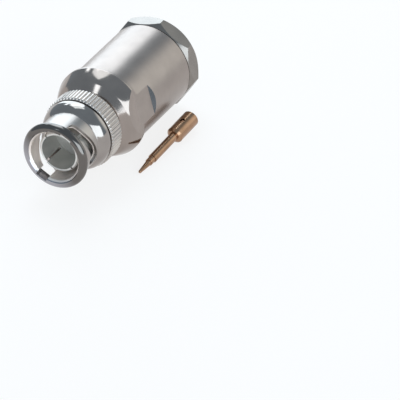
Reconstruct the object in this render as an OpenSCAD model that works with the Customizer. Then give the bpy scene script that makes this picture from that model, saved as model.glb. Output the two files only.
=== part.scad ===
// BNC cable plug, clamp type, for a thick coaxial cable, with its loose solder contact.
// The plug's axis runs along Y. The mating end looks towards -Y, the cable leaves towards +Y.
// y = 0 is the mating face, the front end of the slotted outer contact.

/* [Coupling nut] */
// Diameter over the knurl
knurl_d = 14.5; // [14.2:0.1:14.8]
// Number of knurl teeth
knurl_teeth = 64; // [48:2:72]
// Depth of a knurl groove
knurl_depth = 0.24; // [0.15:0.01:0.3]
// How far the front rim stands in front of the mating face
rim_ahead = 2.1; // [1.9:0.1:2.3]
// Diameter of the rounded front rim
rim_d = 13.2; // [13:0.1:13.6]
// Diameter of the neck that the bayonet slots cut through
neck_d = 11.5; // [11.3:0.1:11.7]
// Diameter of the domed shoulder between the neck and the knurl
dome_d = 13.8; // [13.4:0.1:14]
// Bore that slides over the mating socket
nut_bore_d = 9.85; // [9.8:0.05:9.95]
// Width of the bayonet slots
slot_w = 2.3; // [2.2:0.1:2.4]
// Angle of the first slot's mouth, clockwise from the top as seen from the front
slot_mouth = 28; // [20:1:40]
// Turn from a slot's mouth to its seat
slot_turn = 75; // [70:1:80]

/* [Outer contact] */
// Outer diameter over the spring fingers
finger_d = 8.1; // [8:0.05:8.15]
// Bore between the spring fingers
finger_bore_d = 7; // [6.9:0.05:7.05]
// Number of saw cuts that part the fingers
finger_cuts = 4; // [3:1:6]
// Width of a saw cut
cut_w = 0.4; // [0.3:0.05:0.5]

/* [Body] */
// Diameter of the shoulder behind the coupling nut
shoulder_d = 18.2; // [18:0.1:18.4]
// Diameter of the body's barrel
barrel_d = 16.9; // [16.8:0.1:17.2]
// Distance from the mating face to the body's rear edge
barrel_end = 35.2; // [35:0.1:37]
// Distance across the two spanner flats
flats_w = 15.8; // [15.6:0.1:16.4]
// Angle of the first flat, clockwise from the top as seen from the front
flats_angle = 75; // [60:1:90]

/* [Clamp nut] */
// Distance across the flats of the eight-sided head
head_af = 16.9; // [16.6:0.1:17]
// Length of the eight-sided head
head_len = 3.7; // [3.3:0.1:4.2]
// Angle of one of the head's faces, clockwise from the top as seen from the front
head_angle = 33; // [0:1:44]
// Bore that the cable's jacket passes through
cable_d = 10.9; // [10.8:0.05:11]
// Major diameter of the thread that draws the nut into the body
thread_d = 14; // [13.9:0.1:14.1]

/* [Loose contact] */
// Diameter of the solder barrel
pin_barrel_d = 3.2; // [3.1:0.05:3.3]
// Overall length of the contact
pin_len = 19.1; // [18.8:0.1:19.6]
// Distance from the plug's axis to the contact's tip, sideways
pin_x = 9.6; // [9.5:0.1:12]
// Distance from the mating face to the contact's tip
pin_y = 13; // [8:0.1:14]
// Turn of the contact away from the plug's axis, in degrees
pin_yaw = 2.3; // [0:0.1:6]

/* [Hidden] */
round_n = 96;
far = 40;
air = 0.05;

// Coupling nut, along the axis
nut_front = -rim_ahead;
rim_len = 1.9;
dome_end = 7.2;
dome_round = 3;
relief_d = 13;
knurl_y = 7.5;
knurl_end = 11.2;
knurl_edge = 0.35;
cavity_y = 8.1;
cavity_r = 6;
groove_y = 10.05;
ring_t = 0.3;
groove_r = 6.5;
ramp_start = nut_front + rim_len + 0.1 + slot_w / 2;
ramp_rise = 1.9;
seat_back = 0.2;
seat_d = 2.4;
slot_in_r = 4.4;
slot_out_r = 7;

// Front spigot of the body, which carries the coupling nut
collar_y = cavity_y + air;
collar_end = 8.9;
collar_r = cavity_r - 0.07;
spigot_r = 4.9;
washer_t = 0.2;
spring_y = collar_end + washer_t;
thrust_y = 9.85;
thrust_t = groove_y - thrust_y;
spring_t = 0.22;
spring_waves = 3;

// Inside of the body
shank_y = collar_y;
shank_end = 11.5;
shank_r = 4.4;
socket_depth = 5.6;
dielectric_r = 3.7;
dielectric_step = 8.6;
flange_r = 3.95;
web_r = 3.2;
web_end = 13.6;
chamber_r = 5.8;
chamber_end = barrel_end - 12.3;
thread_r = thread_d / 2;
head_y = barrel_end;
total_end = head_y + head_len;

// Clamping pieces inside the body
clamp_len = 4;
gasket_len = 3.2;
slip_t = 0.7;
clamp_y = chamber_end;
jacket_r = 5.2;
core_r = 3.75;
packing_y = clamp_y + clamp_len;
slip_y = packing_y + gasket_len;
sleeve_y = slip_y + slip_t;
ridge_h = 0.6;
ridge_r = 6.05;

// Shoulder and flats of the body
shoulder_y = 16;
shoulder_round = 3.3;
shoulder_tilt = 56;
shoulder_land = 0.6;
flats_front = 10.5;
flats_end = 20.7;
flats_runout = 1.4;

// Loose contact, along its own axis from the tip
tip_len = 3.5;
tip_d = 1.1;
tip_end_d = 0.6;
front_collar_len = 1.3;
front_collar_d = 1.4;
shaft_d = 1.7;
pin_barrel_len = 6.5;
pin_edge = 0.45;
solder_bore_d = 2.3;
solder_hole_d = 1;

// Turns a shape that stands on Z until it lies along Y.
module along_axis() {
  rotate([-90, 0, 0])
    children();
}

// Revolves a profile drawn as [radius, y] about the plug's axis.
module turned() {
  along_axis()
    rotate_extrude($fn = round_n)
      children();
}

// Section of a plain ring: radii r0 to r1, from y0 to y1.
module band(r0, r1, y0, y1) {
  translate([r0, y0])
    square([r1 - r0, y1 - y0]);
}

// Section of a rounded ring, a circle centred at [r, y].
module roll(r, y, radius) {
  translate([r, y])
    circle(radius, $fn = round_n);
}

// Turns its children about the plug's axis, clockwise from the top as seen from the front.
module clock(angle) {
  rotate([0, angle, 0])
    children();
}

// Straight-sided gear outline of the knurl.
function knurl_outline(tip_r, root_r, n) =
  [for (i = [0 : 2 * n - 1])
    let (r = i % 2 == 0 ? tip_r : root_r, a = i * 180 / n)
      [r * cos(a), r * sin(a)]];

// The knurled ring, with its corners turned off.
module knurled_ring() {
  tip_r = knurl_d / 2;
  root_r = tip_r - knurl_depth;
  intersection() {
    along_axis()
      translate([0, 0, knurl_y])
        linear_extrude(knurl_end - knurl_y)
          polygon(knurl_outline(tip_r, root_r, knurl_teeth));
    turned()
      polygon([
        [0, knurl_y], [tip_r - knurl_edge, knurl_y], [tip_r + 0.01, knurl_y + knurl_edge],
        [tip_r + 0.01, knurl_end - knurl_edge], [tip_r - knurl_edge, knurl_end], [0, knurl_end]
      ]);
  }
}

// Outside of the coupling nut: rolled rim, neck, domed shoulder, relief groove and knurl.
module nut_blank() {
  rim_r = rim_d / 2;
  neck_r = neck_d / 2;
  dome_r = dome_d / 2;
  turned()
    union() {
      roll(rim_r - rim_len / 2, nut_front + rim_len / 2, rim_len / 2);
      band(0, rim_r - rim_len / 2, nut_front, nut_front + rim_len);
      band(0, neck_r, nut_front + rim_len / 2, dome_end);
      intersection() {
        roll(dome_r - dome_round, dome_end - 0.2, dome_round);
        band(0, dome_r, nut_front, dome_end);
      }
      band(0, relief_d / 2, dome_end, knurl_y);
    }
  knurled_ring();
}

// Bore, lead-in, spring cavity and retaining-ring groove of the coupling nut.
module nut_bores() {
  bore_r = nut_bore_d / 2;
  turned()
    union() {
      band(0, bore_r, nut_front - 1, far);
      polygon([
        [0, nut_front - 0.01], [bore_r + 0.5, nut_front - 0.01],
        [bore_r, nut_front + 0.5], [0, nut_front + 0.5]
      ]);
      band(0, cavity_r, cavity_y, far);
      band(0, groove_r, groove_y, groove_y + ring_t + air);
    }
}

// Height of the ramp's centre line: level at its mouth, then a smooth climb.
function ramp_y(t) = ramp_start + ramp_rise * (1 - cos(180 * t)) / 2;

// Four corners of the ramp's section at the share t of its turn.
function ramp_section(t) =
  let (a = 90 - slot_turn * t, y0 = ramp_y(t) - slot_w / 2, y1 = y0 + slot_w)
    [for (p = [[slot_in_r, y0], [slot_out_r, y0], [slot_out_r, y1], [slot_in_r, y1]])
      [p[0] * cos(a), p[1], p[0] * sin(a)]];

// Solid swept through the ramp's sections, used to cut one bayonet slot.
module ramp_cutter() {
  steps = 12;
  points = [for (i = [0 : steps]) each ramp_section(i / steps)];
  sides = [for (i = [0 : steps - 1], k = [0 : 3])
    let (a = 4 * i + k, b = 4 * i + (k + 1) % 4)
      [a, b, b + 4, a + 4]];
  polyhedron(points, concat([[3, 2, 1, 0]], sides, [[for (k = [0 : 3]) 4 * steps + k]]));
}

// One bayonet slot: mouth groove inside the rim, ramp through the neck, round seat.
module bayonet_slot() {
  mouth_r = 5.65;
  rim_end = nut_front + rim_len;
  deep = slot_out_r - slot_in_r + 0.4;
  translate([-slot_w / 2, nut_front - 1, 0])
    cube([slot_w, ramp_start - nut_front + 1, mouth_r]);
  translate([-slot_w / 2, rim_end + 0.1, slot_in_r])
    cube([slot_w, slot_w / 2, deep]);
  translate([0, ramp_start, slot_in_r])
    cylinder(h = deep, d = slot_w, $fn = round_n);
  ramp_cutter();
  clock(slot_turn)
    translate([0, ramp_y(1) - seat_back, slot_in_r])
      cylinder(h = deep, d = seat_d, $fn = round_n);
}

module coupling_nut() {
  color("gainsboro")
    difference() {
      nut_blank();
      nut_bores();
      for (side = [0, 180])
        clock(slot_mouth + side)
          bayonet_slot();
    }
}

// Split ring that snaps into the nut's groove and carries the thrust washer.
module retaining_ring() {
  gap = 2.4;
  color("silver")
    difference() {
      turned()
        band(spigot_r + 0.25, groove_r - air, groove_y, groove_y + ring_t);
      translate([-gap / 2, 0, 0])
        cube([gap, far, far]);
    }
}

module thrust_washer() {
  color("silver")
    turned()
      band(spigot_r + 0.1, cavity_r - 0.1, thrust_y, thrust_y + thrust_t);
}

module front_washer() {
  color("silver")
    turned()
      band(spigot_r + 0.1, cavity_r - 0.15, collar_end, collar_end + washer_t);
}

// Section of the wave spring at an angle: a flat strip that rises and falls three times a turn.
function wave_section(a) =
  let (
    swing = (thrust_y - spring_y - spring_t) / 2,
    y0 = spring_y + swing * (1 - cos(spring_waves * a)),
    y1 = y0 + spring_t,
    r0 = spigot_r + 0.15,
    r1 = cavity_r - 0.2
  )
    [for (p = [[r0, y0], [r1, y0], [r1, y1], [r0, y1]])
      [p[0] * cos(a), p[1], p[0] * sin(a)]];

module wave_spring() {
  n = 48;
  points = [for (i = [0 : n - 1]) each wave_section(i * 360 / n)];
  count = 4 * n;
  sides = [for (i = [0 : n - 1], k = [0 : 3])
    let (a = 4 * i + k, b = 4 * i + (k + 1) % 4)
      [a, (a + 4) % count, (b + 4) % count, b]];
  color("dimgray")
    polyhedron(points, sides);
}

// Sleeve with spring fingers that carries the cable screen to the socket.
module outer_contact() {
  finger_r = finger_d / 2;
  bore_r = finger_bore_d / 2;
  cut_len = 5.2;
  cut_in_r = 2;
  lip = 0.25;
  waist = 0.12;
  color("whitesmoke")
    difference() {
      turned()
        difference() {
          union() {
            polygon([
              [bore_r, 0], [finger_r - lip, 0], [finger_r, lip], [finger_r, 1],
              [finger_r - waist, 1.5], [finger_r - waist, cut_len + 0.1],
              [finger_r, cut_len + 0.3], [finger_r, shank_y], [bore_r, shank_y]
            ]);
            band(bore_r, shank_r, shank_y, shank_end);
          }
          band(0, dielectric_r, socket_depth, far);
          band(0, flange_r, dielectric_step, far);
        }
      for (i = [0 : finger_cuts - 1])
        clock(45 + i * 360 / finger_cuts)
          translate([-cut_w / 2, -1, cut_in_r])
            cube([cut_w, cut_len + 1, finger_d - cut_in_r]);
    }
}

// Rubber ring that the rim of the socket presses on.
module interface_gasket() {
  gasket_r = 4.8;
  gasket_t = 0.9;
  color("lightgray")
    turned()
      band(finger_d / 2 + air, gasket_r, collar_y - gasket_t, collar_y);
}

module front_insulator() {
  slide_r = 0.02;
  hole_r = 0.86;
  color("white")
    turned()
      union() {
        band(hole_r, dielectric_r - slide_r, socket_depth, dielectric_step);
        band(hole_r, flange_r - slide_r, dielectric_step, shank_end);
        band(hole_r, web_r - slide_r, shank_end, web_end);
      }
}

// Outline of the body, from its front collar to the rear edge of its barrel.
module body_blank() {
  shoulder_r = shoulder_d / 2;
  barrel_r = barrel_d / 2;
  roll_r = shoulder_r - shoulder_round;
  cone_r = roll_r + shoulder_round * cos(shoulder_tilt);
  cone_y = shoulder_y - shoulder_round * sin(shoulder_tilt);
  nose_r = 5.6;
  nose_y = cone_y - (cone_r - nose_r) / tan(shoulder_tilt);
  land_end = shoulder_y + shoulder_land;
  edge = 0.3;
  turned()
    union() {
      band(0, collar_r, collar_y, collar_end);
      band(0, spigot_r, collar_end, shoulder_y);
      polygon([
        [0, nose_y], [nose_r, nose_y], [cone_r, cone_y], [cone_r, shoulder_y],
        [0, shoulder_y]
      ]);
      intersection() {
        roll(roll_r, shoulder_y, shoulder_round);
        band(cone_r - 0.2, shoulder_r + 1, cone_y, shoulder_y);
      }
      polygon([
        [0, shoulder_y], [shoulder_r, shoulder_y], [shoulder_r, land_end],
        [barrel_r, land_end + shoulder_r - barrel_r], [barrel_r, barrel_end - edge],
        [barrel_r - edge, barrel_end], [0, barrel_end]
      ]);
    }
}

// Bores of the body: contact seat, web, insulator chamber and threaded rear.
module body_bores() {
  turned()
    union() {
      band(0, shank_r + 0.02, 0, shank_end);
      band(0, web_r, 0, web_end);
      band(0, chamber_r, web_end, chamber_end);
      band(0, thread_r + air, chamber_end, far);
      polygon([
        [0, barrel_end - 0.4], [thread_r, barrel_end - 0.4],
        [thread_r + 0.45, barrel_end + 0.01], [0, barrel_end + 0.01]
      ]);
    }
}

// Material milled away for one spanner flat, with a sloping run-out at its rear end.
module flat_cutter() {
  deep = 3;
  wide = 24;
  translate([-wide / 2, 0, flats_w / 2])
    rotate([90, 0, 90])
      linear_extrude(wide)
        polygon([
          [flats_front, 0], [flats_end, 0], [flats_end + flats_runout * deep, deep],
          [flats_front, deep]
        ]);
}

module body() {
  color("gainsboro")
    difference() {
      body_blank();
      body_bores();
      for (side = [0, 180])
        clock(flats_angle + side)
          flat_cutter();
    }
}

// Insulator that holds the contact's solder barrel and meets the cable's own core.
module rear_insulator() {
  core_seat = 4;
  color("white")
    turned()
      difference() {
        band(pin_barrel_d / 2 + 0.06, chamber_r - 0.02, web_end, chamber_end);
        band(0, core_r, chamber_end - core_seat, chamber_end);
      }
}

// Ring that the cable's braid is folded over, with a ridge that bites into the gasket.
module braid_clamp() {
  outer_r = thread_r - 0.1;
  floor_t = 1;
  color("silver")
    turned()
      union() {
        difference() {
          band(core_r, outer_r, clamp_y, packing_y);
          band(0, jacket_r, clamp_y + floor_t, packing_y);
        }
        polygon([
          [ridge_r - ridge_h, packing_y], [ridge_r + ridge_h, packing_y],
          [ridge_r, packing_y + ridge_h]
        ]);
      }
}

module cable_gasket() {
  color("dimgray")
    turned()
      difference() {
        band(jacket_r, thread_r - 0.1, packing_y, slip_y);
        polygon([
          [ridge_r - ridge_h, packing_y], [ridge_r + ridge_h, packing_y],
          [ridge_r, packing_y + ridge_h]
        ]);
      }
}

module slip_washer() {
  color("silver")
    turned()
      band(jacket_r + 0.15, thread_r - 0.1, slip_y, sleeve_y);
}

// Eight-sided prism of the clamp nut's head, its corners turned off at both ends.
module head_prism() {
  corner_r = head_af / 2 / cos(22.5);
  reach = corner_r + 0.12;
  front_r = head_af / 2 - 0.1;
  rear_r = head_af / 2 - 0.45;
  front_cut = 0.6;
  rear_cut = 1.6;
  intersection() {
    clock(head_angle)
      along_axis()
        translate([0, 0, head_y])
          rotate([0, 0, 22.5])
            cylinder(h = head_len, r = corner_r, $fn = 8);
    turned()
      polygon([
        [0, head_y], [front_r, head_y], [reach, head_y + front_cut],
        [reach, total_end - rear_cut], [rear_r, total_end], [0, total_end]
      ]);
  }
}

module clamp_nut() {
  lead = 0.5;
  overlap = 1;
  color("gainsboro")
    difference() {
      union() {
        head_prism();
        turned()
          polygon([
            [0, sleeve_y], [thread_r - lead, sleeve_y], [thread_r, sleeve_y + lead],
            [thread_r, head_y + overlap], [0, head_y + overlap]
          ]);
      }
      turned()
        union() {
          band(0, cable_d / 2, 0, far);
          polygon([
            [0, total_end - 0.6], [cable_d / 2, total_end - 0.6],
            [cable_d / 2 + 0.6, total_end + 0.01], [0, total_end + 0.01]
          ]);
        }
    }
}

// Profile of the loose contact along its own axis, tip first.
module pin_profile() {
  barrel_y = pin_len - pin_barrel_len;
  collar_end_y = tip_len + front_collar_len;
  barrel_r = pin_barrel_d / 2;
  union() {
    polygon([
      [0, tip_end_d / 2], [tip_end_d / 2, tip_end_d / 2], [tip_d / 2, tip_len - 0.4],
      [tip_d / 2, tip_len], [0, tip_len]
    ]);
    intersection() {
      roll(0, tip_end_d / 2, tip_end_d / 2);
      band(0, tip_end_d, 0, tip_end_d);
    }
    band(0, front_collar_d / 2, tip_len, collar_end_y);
    band(0, shaft_d / 2, collar_end_y, barrel_y);
    polygon([
      [0, barrel_y], [barrel_r - pin_edge, barrel_y], [barrel_r, barrel_y + pin_edge],
      [barrel_r, pin_len - pin_edge / 2], [barrel_r - pin_edge / 2, pin_len], [0, pin_len]
    ]);
  }
}

// The contact that is soldered to the cable's centre wire. It lies beside the plug, resting on
// the front edge of its barrel and on the front shoulder of its shaft.
module contact_pin() {
  bore_depth = 5.2;
  hole_back = 3.2;
  floor_z = -shoulder_d / 2;
  rest_y = pin_len - pin_barrel_len + pin_edge;
  rest_r = pin_barrel_d / 2;
  dip = atan((rest_r - shaft_d / 2) / (rest_y - tip_len - front_collar_len));
  color("peru")
    translate([pin_x, pin_y, floor_z])
      rotate([0, 0, -pin_yaw])
        translate([0, rest_y * cos(dip), rest_r * cos(dip)])
          rotate([dip, 0, 0])
            translate([0, -rest_y, 0])
              difference() {
                turned()
                  pin_profile();
                along_axis()
                  translate([0, 0, pin_len - bore_depth])
                    cylinder(h = bore_depth + 1, d = solder_bore_d, $fn = round_n);
                translate([0, pin_len - hole_back, 0])
                  cylinder(h = pin_barrel_d, d = solder_hole_d, $fn = round_n);
              }
}

coupling_nut();
retaining_ring();
thrust_washer();
wave_spring();
front_washer();
outer_contact();
interface_gasket();
front_insulator();
body();
rear_insulator();
braid_clamp();
cable_gasket();
slip_washer();
clamp_nut();
contact_pin();
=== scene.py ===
"""Dresses the cable plug and its loose contact: finely turned metal, plastics, floor, light.

The plug's lengths are in millimetres, and MM turns them into the scene's metres. The studio's are
in metres. The plug's axis is Y, and its front faces -Y.
"""
import math

import bmesh
import bpy
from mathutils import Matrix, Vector

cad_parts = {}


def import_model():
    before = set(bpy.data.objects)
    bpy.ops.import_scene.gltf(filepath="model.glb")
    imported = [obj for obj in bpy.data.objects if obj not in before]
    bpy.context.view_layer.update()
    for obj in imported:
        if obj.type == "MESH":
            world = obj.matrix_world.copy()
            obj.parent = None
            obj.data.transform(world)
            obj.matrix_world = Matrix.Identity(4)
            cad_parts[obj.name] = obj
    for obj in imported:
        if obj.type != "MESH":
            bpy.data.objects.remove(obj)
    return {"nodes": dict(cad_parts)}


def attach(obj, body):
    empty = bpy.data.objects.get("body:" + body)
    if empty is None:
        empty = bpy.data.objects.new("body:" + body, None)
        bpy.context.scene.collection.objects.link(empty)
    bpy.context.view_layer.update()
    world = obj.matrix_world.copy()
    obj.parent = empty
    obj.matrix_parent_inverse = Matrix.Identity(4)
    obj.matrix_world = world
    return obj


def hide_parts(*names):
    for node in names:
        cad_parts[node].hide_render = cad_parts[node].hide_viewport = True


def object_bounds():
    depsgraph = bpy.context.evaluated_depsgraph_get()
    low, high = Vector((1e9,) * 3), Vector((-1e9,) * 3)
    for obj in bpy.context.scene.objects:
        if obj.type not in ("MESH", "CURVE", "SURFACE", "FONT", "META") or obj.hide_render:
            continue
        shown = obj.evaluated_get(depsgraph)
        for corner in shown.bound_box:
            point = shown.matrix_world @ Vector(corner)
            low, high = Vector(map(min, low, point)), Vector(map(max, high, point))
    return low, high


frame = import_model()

MM = 0.001
NODES = frame["nodes"]
CAD_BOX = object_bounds()

# Studio
FLOOR_WHITE = 0.82              # share of the floor's look that comes from plain white
DIM = (0.37, 0.45, 0.52)        # the surroundings
WALL = (1.45, 1.52, 1.50)       # the pale wall behind the plug
WALL_AT = (143, 18)             # azimuth and elevation of the wall's middle, degrees
WALL_CORE, WALL_EDGE = 5, 30    # degrees from its middle, where it starts to fade and is gone
LAMP_DISTANCE = 0.6             # metres from the plug
DAYLIGHT = (0.82, 0.93, 1.0)

# Fine meshes
TURNS = 384                     # steps round the axis of a turned piece
TEETH, TOOTH_STEPS = 64, 6      # of the knurl
SMOOTH = math.radians(11)       # an edge sharper than this shows as an edge
SAME_WAY = 0.99995              # cosine between normals that count as one
CIRCLE_STEP = 6                 # degrees
FLAT_CLOCK = 75                 # the spanner flats' clock angle, degrees
FLAT_RUN_OUT = 1.4              # length over depth of the flats' run-out
SLOT_CLOCK = 28                 # clock angle of a bayonet slot's mouth, degrees


# ---------------------------------------------------------------- node helpers

MIX_SHARE, MIX_FIRST, MIX_SECOND, MIX_COLOUR = 0, 6, 7, 2      # a colour mix's sockets


class Shader:
    """A node material that is built up line by line."""

    def __init__(self, name):
        self.mat = bpy.data.materials.new(name)
        self.mat.use_nodes = True
        self.tree = self.mat.node_tree
        self.bsdf = self.tree.nodes["Principled BSDF"]

    def node(self, kind, **values):
        made = self.tree.nodes.new(kind)
        for key, value in values.items():
            if key in made.inputs:
                made.inputs[key].default_value = value
            else:
                setattr(made, key, value)
        return made

    def link(self, output, target):
        self.tree.links.new(output, target)

    def set(self, **values):
        for key, value in values.items():
            self.bsdf.inputs[key.replace("_", " ")].default_value = value

    def place(self, stretch=(1, 1, 1)):
        """Object coordinates in millimetres, stretched along each axis."""
        coords = self.node("ShaderNodeTexCoord")
        scale = self.node("ShaderNodeVectorMath", operation="MULTIPLY")
        self.link(coords.outputs["Object"], scale.inputs[0])
        scale.inputs[1].default_value = [s / MM for s in stretch]
        return scale.outputs[0]

    def along(self):
        """The place along the plug's axis."""
        axes = self.node("ShaderNodeSeparateXYZ")
        self.link(self.place(), axes.inputs[0])
        return axes.outputs["Y"]

    def noise(self, where, scale, detail=2.0, rough=0.5):
        made = self.node("ShaderNodeTexNoise", Scale=scale, Detail=detail, Roughness=rough)
        self.link(where, made.inputs["Vector"])
        return made.outputs["Fac"]

    def spread(self, value, low, high, from_low=0.3, from_high=0.7):
        """The value, mapped from its range to low and high, and held at both ends."""
        made = self.node("ShaderNodeMapRange")
        self.link(value, made.inputs["Value"])
        for key, number in (("From Min", from_low), ("From Max", from_high),
                            ("To Min", low), ("To Max", high)):
            made.inputs[key].default_value = number
        return made.outputs[0]

    def after(self, value, edge, soft):
        """From 0 to 1 as the value passes the edge."""
        return self.spread(value, 0, 1, edge - soft, edge + soft)

    def before(self, value, edge, soft):
        """From 1 to 0 as the value passes the edge."""
        return self.spread(value, 1, 0, edge - soft, edge + soft)

    def mixed(self, share, first, second):
        """A colour between two, by a share from 0 to 1. Each is a colour or an output."""
        made = self.node("ShaderNodeMix", data_type="RGBA")
        self.link(share, made.inputs[MIX_SHARE])
        for socket, colour in ((MIX_FIRST, first), (MIX_SECOND, second)):
            if isinstance(colour, tuple):
                made.inputs[socket].default_value = (*colour, 1)
            else:
                self.link(colour, made.inputs[socket])
        return made.outputs[MIX_COLOUR]

    def raised(self, base, share, change):
        """The base value plus the share's part of the change."""
        made = self.node("ShaderNodeMath", operation="MULTIPLY_ADD")
        self.link(share, made.inputs[0])
        made.inputs[1].default_value = change
        self.link(base, made.inputs[2])
        return made.outputs[0]

    def bump(self, height, distance, under=None):
        made = self.node("ShaderNodeBump", Strength=1.0, Distance=distance * MM)
        self.link(height, made.inputs["Height"])
        if under is not None:
            self.link(under, made.inputs["Normal"])
        return made.outputs[0]

    def soft_edges(self):
        """The normal, with sharp edges rounded over a tenth of a millimetre."""
        return self.node("ShaderNodeBevel", Radius=0.10 * MM, samples=6).outputs[0]

    def seen(self, share):
        """The share, on rays from the camera and on those that metal and glass mirror."""
        path = self.node("ShaderNodeLightPath")
        ray = path.outputs["Is Camera Ray"]
        for other in ("Is Glossy Ray", "Is Transmission Ray"):
            either = self.node("ShaderNodeMath", operation="MAXIMUM")
            self.link(ray, either.inputs[0])
            self.link(path.outputs[other], either.inputs[1])
            ray = either.outputs[0]
        scaled = self.node("ShaderNodeMath", operation="MULTIPLY")
        self.link(ray, scaled.inputs[0])
        scaled.inputs[1].default_value = share
        return scaled.outputs[0]


def times(share, colour):
    return tuple(share * c for c in colour)


def lathe_marks(s, grain_scale=6.0, cloud_scale=0.35):
    """Noise for turning lines round the axis, for a soft grain and for clouds of tone."""
    lines = s.noise(s.place((0.0, 1.0, 0.0)), 9.0, 3.0, 0.7)
    grain = s.noise(s.place(), grain_scale, 3.0, 0.6)
    cloud = s.spread(s.noise(s.place(), cloud_scale, 2.0), 0, 1)
    return lines, grain, cloud


def plated(s, tone, dull, lines, line_depth, grain, grain_depth):
    """The finished metal, from its tone, its roughness and the depth of its marks."""
    s.set(Metallic=1.0)
    s.link(tone, s.bsdf.inputs["Base Color"])
    s.link(dull, s.bsdf.inputs["Roughness"])
    turned = s.bump(lines, line_depth, under=s.soft_edges())
    s.link(s.bump(grain, grain_depth, under=turned), s.bsdf.inputs["Normal"])
    return s.mat


def turned_metal(name, dark, light, rough, line_depth, grain_depth, inside=None, painted_rim_shade=None,
                 satin=()):
    """Plated metal off a lathe: fine turning lines round the plug's axis and a soft grain.

    Inside is (radius, roughness, painted_light_lift): within that radius of the axis, a duller
    finish, and a paler colour that is painted light in the shaded bore.
    painted_rim_shade is (y, share): in front of that y a darker colour, a painted dark reflection,
    turning paler and bluer towards the lower left, a painted reflection.
    Satin is rows of (front, rear, extra, painted_light_lift): between the two, a duller satin
    finish and a paler colour; on the knurl that paler colour is painted light.
    """
    worn, edge_soft = 0.03, 0.02
    zone_soft, rim_shade_soft = 0.2, 0.15
    # The painted rim shade's paler, bluer side, a painted reflection: its direction, where it
    # starts and ends, and its tone.
    low_side, low_start, low_end = (-0.6, 0.0, -0.8), 0.5, 4.5
    painted_low_reflection = (0.38, 0.37, 0.395)
    s = Shader(name)
    lines, grain, cloud = lathe_marks(s)
    tone = s.mixed(cloud, dark, light)
    dull = s.spread(grain, rough - worn, rough + worn)
    y = s.along()
    # Satin zones: a duller finish, and a paler colour, painted light on the knurl for the lamps
    # its teeth catch.
    for front, rear, extra, painted_light_lift in satin:
        zone = s.node("ShaderNodeMath", operation="SUBTRACT")
        s.link(s.after(y, front, zone_soft), zone.inputs[0])
        s.link(s.after(y, rear, zone_soft), zone.inputs[1])
        dull = s.raised(dull, zone.outputs[0], extra)
        tone = s.mixed(zone.outputs[0], tone, times(painted_light_lift, light))
    # Painted dark reflection on the rim in front of rim_shade_y, with a paler, bluer painted
    # reflection towards the lower left.
    if painted_rim_shade:
        rim_shade_y, share = painted_rim_shade
        lean = s.node("ShaderNodeVectorMath", operation="DOT_PRODUCT")
        s.link(s.place(), lean.inputs[0])
        lean.inputs[1].default_value = low_side
        low = s.spread(lean.outputs["Value"], 0, 1, low_start, low_end)
        painted_rim_tone = s.mixed(low, times(share, light), painted_low_reflection)
        tone = s.mixed(s.before(y, rim_shade_y, rim_shade_soft), tone, painted_rim_tone)
    # Painted light in the bore: within the radius the colour is made much paler, with a duller
    # finish.
    if inside:
        radius, inner_rough, painted_light_lift = inside
        from_axis = s.node("ShaderNodeVectorMath", operation="LENGTH")
        s.link(s.place((1.0, 0.0, 1.0)), from_axis.inputs[0])
        within = s.before(from_axis.outputs["Value"], radius, edge_soft)
        tone = s.mixed(within, tone, times(painted_light_lift, light))
        dull = s.raised(dull, within, inner_rough - rough)
    return plated(s, tone, dull, lines, line_depth, grain, grain_depth)


def body_metal():
    """The body's plating: polished on the shoulder, satin along the barrel."""
    polish_low, polish_high, satin_extra = 0.10, 0.14, 0.22
    satin_start, satin_full = 15.9, 16.2
    s = Shader("body_plate")
    lines, grain, cloud = lathe_marks(s, grain_scale=7.0, cloud_scale=0.3)
    tone = s.mixed(cloud, (0.300, 0.258, 0.235), (0.340, 0.292, 0.265))
    satin = s.spread(s.along(), 0, 1, satin_start, satin_full)
    dull = s.raised(s.spread(grain, polish_low, polish_high), satin, satin_extra)
    return plated(s, tone, dull, lines, 0.0015, grain, 0.002)


def plastic(name, dark, light, rough, depth, worn=0.06):
    s = Shader(name)
    grain = s.noise(s.place(), 2.5, 3.0, 0.6)
    s.link(s.mixed(s.spread(grain, 0, 1), dark, light), s.bsdf.inputs["Base Color"])
    s.link(s.spread(grain, rough - worn, rough + worn), s.bsdf.inputs["Roughness"])
    s.link(s.bump(grain, depth), s.bsdf.inputs["Normal"])
    return s.mat


def paint(material, *names):
    for name in names:
        mesh = NODES[name].data
        mesh.materials.clear()
        mesh.materials.append(material)


# ---------------------------------------------------------------- materials

# name, dark tone, light tone, roughness, depth of the turning lines, depth of the grain;
# a plastic has no turning lines
BRIGHT = turned_metal("bright_plate", (0.30, 0.27, 0.25), (0.34, 0.31, 0.29), 0.10, 0.001, 0.001)
# The coupling nut: its bore painted paler (painted light), its rim painted darker (painted dark
# reflection), its knurl painted paler (painted light).
NUT = turned_metal("nut_plate", (0.30, 0.27, 0.255), (0.34, 0.31, 0.29), 0.10, 0.001, 0.001,
                   inside=(5.2, 0.50, 2.6), painted_rim_shade=(-0.3, 0.44),
                   satin=((0.0, 4.6, 0.22, 1.1), (7.4, 11.3, 0.20, 1.35)))
SILVER = turned_metal("silver_plate", (0.72, 0.71, 0.68), (0.80, 0.78, 0.75), 0.52, 0.001, 0.002)
SATIN = turned_metal("satin_plate", (0.22, 0.20, 0.185), (0.26, 0.235, 0.215), 0.24, 0.002, 0.002)
# The spanner flats' run-out faces: a dark bluish colour, a painted dark reflection.
RUN_OUT_PAINTED_DARK = turned_metal("run_out_painted_reflection", (0.10, 0.11, 0.12), (0.13, 0.14, 0.155),
                       0.16, 0.001, 0.001)
STEEL = turned_metal("spring_steel", (0.42, 0.42, 0.41), (0.50, 0.49, 0.48), 0.30, 0.001, 0.002)
GOLD = turned_metal("gold_flash", (0.29, 0.165, 0.095), (0.39, 0.235, 0.15), 0.22, 0.002, 0.002)
BODY = body_metal()
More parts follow.
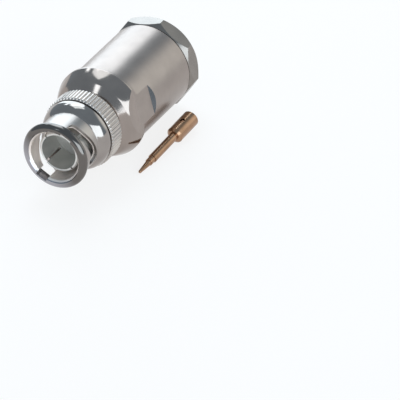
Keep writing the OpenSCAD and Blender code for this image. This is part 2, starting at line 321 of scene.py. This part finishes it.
# The insulators' grey is painted shade: PTFE_PAINTED_SHADE is white, and the grey stands in for
# the shade deep in the socket.
PTFE_PAINTED_SHADE = plastic("insulator", (0.46, 0.43, 0.39), (0.52, 0.49, 0.45), 0.40, 0.003)
RUBBER = plastic("gasket", (0.36, 0.36, 0.35), (0.42, 0.42, 0.41), 0.65, 0.01)

paint(NUT, "coupling_nut")
paint(SILVER, "outer_contact")
paint(BRIGHT, "thrust_washer", "front_washer", "braid_clamp", "slip_washer")
paint(BODY, "body")
paint(SATIN, "clamp_nut")
paint(STEEL, "wave_spring", "retaining_ring")
paint(GOLD, "contact_pin")
paint(PTFE_PAINTED_SHADE, "front_insulator", "rear_insulator")
paint(RUBBER, "interface_gasket", "cable_gasket")


# ---------------------------------------------------------------- mesh helpers

def arc(radius, y, size, start, end, steps):
    """Points (radius, y) along a rounded corner. Angle 0 points outwards, 90 to the rear."""
    found = []
    for i in range(steps + 1):
        a = math.radians(start + (end - start) * i / steps)
        found.append((radius + size * math.cos(a), y + size * math.sin(a)))
    return found


def bend(start, tilt0, end, tilt1, steps):
    """Points of a smooth curve that leans out by tilt0 at its start and by tilt1 at its end."""
    a0, a1 = math.radians(tilt0), math.radians(tilt1)
    dr, dy = end[0] - start[0], end[1] - start[1]
    reach = (dr * math.cos(a1) - dy * math.sin(a1)) / math.sin(a0 - a1)
    middle = (start[0] + reach * math.sin(a0), start[1] + reach * math.cos(a0))
    found = []
    for i in range(steps + 1):
        t = i / steps
        found.append(tuple((1 - t) ** 2 * a + 2 * t * (1 - t) * m + t * t * b
                           for a, m, b in zip(start, middle, end)))
    return found


def finely(profile, longest):
    """The closed profile with its long straight runs divided."""
    found = []
    for (r0, y0), (r1, y1) in zip(profile, profile[1:] + profile[:1]):
        parts = max(1, round(math.hypot(r1 - r0, y1 - y0) / longest))
        found += [(r0 + (r1 - r0) * i / parts, y0 + (y1 - y0) * i / parts) for i in range(parts)]
    return found


def clocked(angle, point):
    """The point turned about the axis, clockwise from the top as seen from the front."""
    a = math.radians(angle)
    x, y, z = point
    return (x * math.cos(a) + z * math.sin(a), y, z * math.cos(a) - x * math.sin(a))


def new_object(name, data):
    obj = bpy.data.objects.new(name, data)
    bpy.context.scene.collection.objects.link(obj)
    return obj


def skinned(name, sections, round_trip):
    """A solid through closed sections of points, back to the first or with flat ends."""
    b = bmesh.new()
    rings = [[b.verts.new([MM * c for c in point]) for point in section] for section in sections]
    count = len(rings[0])
    for ring, following in zip(rings, rings[1:] + rings[:1] if round_trip else rings[1:]):
        for k in range(count):
            n = (k + 1) % count
            b.faces.new((ring[k], ring[n], following[n], following[k]))
    if not round_trip:
        b.faces.new(rings[0][::-1])
        b.faces.new(rings[-1])
    bmesh.ops.recalc_face_normals(b, faces=b.faces)
    mesh = bpy.data.meshes.new(name)
    b.to_mesh(mesh)
    b.free()
    return new_object(name, mesh)


def lathe(name, profile, turns=TURNS, limit=None):
    """A closed profile of (radius, y), turned about the plug's axis.

    limit(angle, y, radius) may lower the radius, as between teeth.
    """
    sections = []
    for i in range(turns):
        a = 2 * math.pi * i / turns
        radii = [limit(a, y, r) if limit else r for r, y in profile]
        sections.append([(r * math.sin(a), y, r * math.cos(a))
                         for r, (_, y) in zip(radii, profile)])
    return skinned(name, sections, round_trip=True)


def radial_cutter(name, angle, outline, inner, outer):
    """An outline of (across, y) at a clock angle, as a solid from one height to another."""
    return skinned(name, [[clocked(angle, (x, y, z)) for x, y in outline]
                          for z in (inner, outer)], round_trip=False)


def carved(obj, cutters, operation="DIFFERENCE"):
    """The object with the cutters taken away, or kept where all overlap."""
    for cutter in cutters:
        made = obj.modifiers.new("cut", "BOOLEAN")
        made.operation = operation
        made.solver = "EXACT"
        made.object = cutter
    shaped = obj.evaluated_get(bpy.context.evaluated_depsgraph_get())
    mesh = bpy.data.meshes.new_from_object(shaped)
    obj.modifiers.clear()
    obj.data = mesh
    for cutter in cutters:
        bpy.data.objects.remove(cutter)
    return obj


def finish_piece(obj, body, node, material, planes=()):
    """Smooth shading, material, and the place of a CAD node that the piece stands for.

    planes are (normal, material) for flat faces, which keep an edge however shallow it is.
    """
    mesh = obj.data
    mesh.shade_smooth()
    mesh.set_sharp_from_angle(angle=SMOOTH)
    flats = [(face.index, n + 1) for n, (normal, _) in enumerate(planes)
             for face in mesh.polygons if face.normal.dot(normal) > SAME_WAY]
    mesh.materials.clear()
    for made in (material, *(own for _, own in planes)):
        mesh.materials.append(made)
    for face in mesh.polygons:
        face.material_index = 0
    for index, number in flats:
        mesh.polygons[index].use_smooth = False
        mesh.polygons[index].material_index = number
    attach(obj, body)
    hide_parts(node)


# ---------------------------------------------------------------- body

def shoulder(shoulder_r, shoulder_y, nose_r):
    """The shoulder's cone and round, from the nose to its widest place."""
    tilt, end_tilt, round_r, steps = 56, 20, 3.3, 26
    cone_r = shoulder_r - round_r + round_r * math.cos(math.radians(tilt))
    cone_y = shoulder_y - round_r * math.sin(math.radians(tilt))
    nose_y = cone_y - (cone_r - nose_r) / math.tan(math.radians(tilt))
    curve = bend((cone_r, cone_y), tilt, (shoulder_r, shoulder_y), end_tilt, steps)
    return [(nose_r, nose_y)] + curve


def flat_cutters():
    """Solids for the two spanner flats, each with a sloping end."""
    height, top, front, end, half_wide = 7.9, 10.9, 10.5, 21.3, 12
    outline = [(front, height), (end, height), (end + FLAT_RUN_OUT * (top - height), top),
               (front, top)]
    return [skinned("flat_cutter", [[clocked(FLAT_CLOCK + side, (x, y, z)) for y, z in outline]
                                    for x in (-half_wide, half_wide)], round_trip=False)
            for side in (0, 180)]


def rear_bore(radius, first_y, last_y, floor_y):
    """The cable end's bore from rear to front, with thread grooves."""
    pitch, depth = 1.0, 0.3
    found, y = [], first_y
    while y > last_y:
        found += [(radius, y), (radius + depth, y - 0.5 * pitch)]
        y -= pitch
    return found + [(radius, y), (radius, floor_y)]


def body_piece():
    """The body: collar, shoulder with two spanner flats, satin barrel, threaded rear bore."""
    collar_r, spigot_r, nose_r, shoulder_r, barrel_r = 5.93, 4.9, 5.6, 9.1, 8.45
    front_y, collar_y, shoulder_y, barrel_y, rear_y = 8.15, 8.9, 16.0, 17.25, 35.2
    edge, lead = 0.3, 0.4
    outside = [(collar_r, front_y), (collar_r, collar_y), (spigot_r, collar_y)]
    rise = shoulder(shoulder_r, shoulder_y, nose_r)
    outside += [(spigot_r, rise[0][1])] + rise
    outside += [(shoulder_r, shoulder_y + 0.52), (shoulder_r - 0.08, shoulder_y + 0.68),
                (barrel_r, barrel_y), (barrel_r, rear_y - edge), (barrel_r - edge, rear_y)]
    bore_r, cavity_r, web_r, contact_r = 7.05, 5.8, 3.2, 4.42
    clamp_floor, cavity_floor, web_front = 22.9, 13.6, 11.5
    inside = [(bore_r + lead, rear_y), (bore_r, rear_y - lead)]
    inside += rear_bore(bore_r, first_y=34.4, last_y=31.0, floor_y=clamp_floor)
    inside += [(cavity_r, clamp_floor), (cavity_r, cavity_floor), (web_r, cavity_floor)]
    inside += [(web_r, web_front), (contact_r, web_front), (contact_r, front_y)]
    obj = lathe("body_turned", finely(outside + inside, longest=1.5))
    return carved(obj, flat_cutters())


# ---------------------------------------------------------------- coupling nut

def tooth(angle, y, radius):
    """Lowers the radius between the knurl's teeth."""
    knurl_front, knurl_rear, core_r = 7.48, 11.22, 6.99
    root_r, height, gap, flank = 7.01, 0.24, 0.12, 0.22
    if not knurl_front < y < knurl_rear or radius < core_r:
        return radius
    share = (angle * TEETH / (2 * math.pi)) % 1.0
    risen = min(1.0, max(0.0, (abs(share - 0.5) - gap) / flank))
    return min(radius, root_r + height * risen)


def slot_cutters(mouth):
    """Solids for one bayonet slot: mouth, entry, ramp and seat."""
    wide, turn, start, rise = 2.3, 75, 1.05, 1.9
    mouth_in, mouth_out, slot_in, slot_out, ramp_out = 3, 5.65, 4.4, 7.4, 7
    half = wide / 2
    mouth_half = half - 0.002       # no wall of the mouth lies in a wall of the entry
    box = [(-mouth_half, -3.2), (mouth_half, -3.2),
           (mouth_half, start - 0.4), (-mouth_half, start - 0.4)]
    entry = [(-half, -0.1), (half, -0.1), (half, start)]
    entry += [(half * math.cos(math.radians(a)), start + half * math.sin(math.radians(a)))
              for a in range(0, 181, CIRCLE_STEP)]
    steps, sections = 48, []
    for i in range(steps + 1):
        t = i / steps
        y0 = start + rise * (1 - math.cos(math.pi * t)) / 2 - half
        ring = [(slot_in, y0), (ramp_out, y0), (ramp_out, y0 + wide), (slot_in, y0 + wide)]
        sections.append([clocked(mouth + turn * t, (0, y, r)) for r, y in ring])
    seat_r, seat_y = 1.2, start + rise - 0.2
    seat_turn = 3                   # no wall of the seat lies in a wall of the ramp
    seat = [(seat_r * math.cos(math.radians(a)), seat_y + seat_r * math.sin(math.radians(a)))
            for a in range(seat_turn, 360 + seat_turn, CIRCLE_STEP)]
    return [radial_cutter("mouth", mouth, box, mouth_in, mouth_out),
            radial_cutter("entry", mouth, entry, slot_in, slot_out),
            skinned("ramp", sections, round_trip=False),
            radial_cutter("seat", mouth + turn, seat, slot_in, slot_out)]


def nut_piece():
    """The coupling nut: rolled rim, neck with bayonet slots, domed shoulder, straight knurl."""
    neck_r, neck_end, relief_r = 5.75, 4.55, 6.5
    outside = arc(5.65, -1.15, 0.95, -90, 62, 30) + [(neck_r + 0.2, -0.28), (neck_r, -0.1)]
    outside += [(neck_r, neck_end)]
    outside += arc(3.9, 7.0, 3.0, -50, 3, 22)
    outside += [(6.86, 7.2), (relief_r, 7.2), (relief_r, 7.5), (6.9, 7.5)]
    outside += [(7.0, 7.52), (7.25, 7.85), (7.25, 10.85), (6.99, 11.12), (6.9, 11.2)]
    cavity_r, groove_r, bore_r, cavity_floor = 6.0, 6.5, 4.925, 8.1
    inside = [(cavity_r, 11.2), (cavity_r, 10.4), (groove_r, 10.4), (groove_r, 10.05)]
    inside += [(cavity_r, 10.05), (cavity_r, cavity_floor), (bore_r, cavity_floor)]
    inside += [(bore_r, -1.6), (5.36, -2.06)]
    profile = finely(outside + inside, longest=1.2)
    obj = lathe("coupling_nut_turned", profile, TEETH * TOOTH_STEPS, tooth)
    return carved(obj, slot_cutters(SLOT_CLOCK) + slot_cutters(SLOT_CLOCK + 180))


# ---------------------------------------------------------------- clamp nut

def clamp_piece():
    """The clamp nut: eight-sided head, threaded sleeve, bore for the cable's jacket."""
    bore_r, root_r, crest_r, head_r = 5.45, 6.5, 6.98, 9.27
    front_y, head_y, rear_y = 30.8, 35.2, 38.9
    outline = [(bore_r, front_y), (root_r - 0.3, front_y), (root_r, front_y + 0.3)]
    y, thread_end, pitch = 31.6, 34.4, 1.0
    while y < thread_end:
        outline += [(root_r, y), (crest_r, y + 0.42), (crest_r, y + 0.58)]
        y += pitch
    outline += [(root_r, y), (root_r, head_y)]
    outline += [(8.35, head_y), (head_r, 36.3), (head_r, 37.3), (8.0, rear_y)]
    outline += [(bore_r + 0.6, rear_y), (bore_r, rear_y - 0.6)]
    obj = lathe("clamp_nut_turned", finely(outline, longest=1.0))
    across, sides, turned = 16.9, 8, 33
    corner_r = across / 2 / math.cos(math.pi / sides)
    corners = [math.radians(turned + 360 / sides * (i + 0.5)) for i in range(sides)]
    prism = skinned("head_faces", [[(corner_r * math.sin(a), y, corner_r * math.cos(a))
                                    for a in corners] for y in (30, 40)], round_trip=False)
    return carved(obj, [prism], "INTERSECT")


# Flat faces: the spanner flats in the body's plating, their run-outs in the painted dark
# reflection.
FLATS = [(Vector(clocked(FLAT_CLOCK + side, normal)).normalized(), own)
         for side in (0, 180)
         for normal, own in (((0, 0, 1), BODY), ((0, -1, FLAT_RUN_OUT), RUN_OUT_PAINTED_DARK))]
finish_piece(body_piece(), "plug_body", "body", BODY, FLATS)
finish_piece(nut_piece(), "coupling_nut", "coupling_nut", NUT)
finish_piece(clamp_piece(), "clamp_nut", "clamp_nut", SATIN)


# ---------------------------------------------------------------- floor, light, camera

def floor():
    """A plain pale floor under the lowest point."""
    half, low = 1.5, CAD_BOX[0].z
    mesh = bpy.data.meshes.new("floor")
    b = bmesh.new()
    corners = [(-half, -half), (half, -half), (half, half), (-half, half)]
    b.faces.new([b.verts.new((x, y, low)) for x, y in corners])
    b.to_mesh(mesh)
    b.free()
    obj = new_object("floor", mesh)
    s = Shader("floor")
    cloud = s.spread(s.noise(s.place(), 0.02), 0, 1)
    s.link(s.mixed(cloud, (0.86, 0.86, 0.86), (0.88, 0.88, 0.88)), s.bsdf.inputs["Base Color"])
    s.set(Roughness=0.9)
    white = s.node("ShaderNodeEmission", Color=(1, 1, 1, 1), Strength=1.0)
    share = s.node("ShaderNodeMixShader")
    s.link(s.seen(FLOOR_WHITE), share.inputs[0])
    s.link(s.bsdf.outputs[0], share.inputs[1])
    s.link(white.outputs[0], share.inputs[2])
    s.link(share.outputs[0], s.tree.nodes["Material Output"].inputs["Surface"])
    mesh.materials.append(s.mat)


def direction(azimuth, elevation):
    """Unit vector from the plug towards a place round it. Azimuth 0 is in front of it."""
    a, e = math.radians(azimuth), math.radians(elevation)
    return Vector((math.sin(a) * math.cos(e), -math.cos(a) * math.cos(e), math.sin(e)))


def softbox(name, azimuth, elevation, wide, high, brightness, colour=DAYLIGHT):
    """A rectangular lamp that faces the plug. Brightness 1 shows white in a mirror."""
    lamp = bpy.data.lights.new(name, "AREA")
    lamp.shape = "RECTANGLE"
    lamp.size, lamp.size_y = wide, high
    lamp.energy = brightness * math.pi * wide * high
    lamp.color = colour
    obj = new_object(name, lamp)
    way, plug_middle = direction(azimuth, elevation), Vector((0, 15 * MM, 0))
    obj.location = plug_middle + way * LAMP_DISTANCE
    obj.rotation_mode = "QUATERNION"
    obj.rotation_quaternion = way.to_track_quat("Z", "Y")


def world():
    """A dim, cool studio with a pale wall behind the plug on the right."""
    made = bpy.data.worlds.new("studio")
    bpy.context.scene.world = made
    made.use_nodes = True
    tree = made.node_tree
    coords = tree.nodes.new("ShaderNodeTexCoord")
    along = tree.nodes.new("ShaderNodeVectorMath")
    along.operation = "DOT_PRODUCT"
    tree.links.new(coords.outputs["Generated"], along.inputs[0])
    along.inputs[1].default_value = direction(*WALL_AT)
    lobe = tree.nodes.new("ShaderNodeMapRange")
    lobe.interpolation_type = "SMOOTHSTEP"
    tree.links.new(along.outputs["Value"], lobe.inputs["Value"])
    lobe.inputs["From Min"].default_value = math.cos(math.radians(WALL_EDGE))
    lobe.inputs["From Max"].default_value = math.cos(math.radians(WALL_CORE))
    mix = tree.nodes.new("ShaderNodeMix")
    mix.data_type = "RGBA"
    tree.links.new(lobe.outputs[0], mix.inputs[MIX_SHARE])
    mix.inputs[MIX_FIRST].default_value = (*DIM, 1)
    mix.inputs[MIX_SECOND].default_value = (*WALL, 1)
    sky = tree.nodes["Background"]
    tree.links.new(mix.outputs[MIX_COLOUR], sky.inputs["Color"])
    sky.inputs["Strength"].default_value = 1.0


def camera():
    """A long lens from the front right, 32 degrees up. The plug lies at the frame's upper left."""
    view_azimuth, view_elevation, distance = 29.6, 31.8, 1.05
    aim_right, aim_down = 26.63, 8.12       # of the frame's middle, from the rim's centre
    rim = Vector((0, CAD_BOX[0].y, 0))
    back = direction(view_azimuth, view_elevation)
    right = Vector((math.cos(math.radians(view_azimuth)), math.sin(math.radians(view_azimuth)), 0))
    up = back.cross(right)
    target = rim + aim_right * MM * right - aim_down * MM * up
    data = bpy.data.cameras.new("camera")
    data.lens = 518.8
    data.sensor_width = 36.0
    data.clip_start, data.clip_end = 0.05, 10.0
    obj = new_object("camera", data)
    obj.location = rim + distance * back
    obj.rotation_mode = "QUATERNION"
    obj.rotation_quaternion = (target - obj.location).to_track_quat("-Z", "Y")
    bpy.context.scene.camera = obj


floor()
world()
# name, azimuth, elevation, width, height, brightness, colour
softbox("key", -146, 30, 0.38, 0.74, 3.05, (0.81, 0.92, 1.0))
softbox("window", 61, 15, 0.70, 0.36, 3.1)
softbox("top", -135, 66, 0.34, 0.30, 2.2, (0.85, 0.95, 1.0))
softbox("spark", -19, 33, 0.09, 0.05, 4.3)
softbox("glint", -117, 38, 0.10, 0.07, 4.6)
camera()
bpy.context.scene.view_settings.view_transform = "Standard"
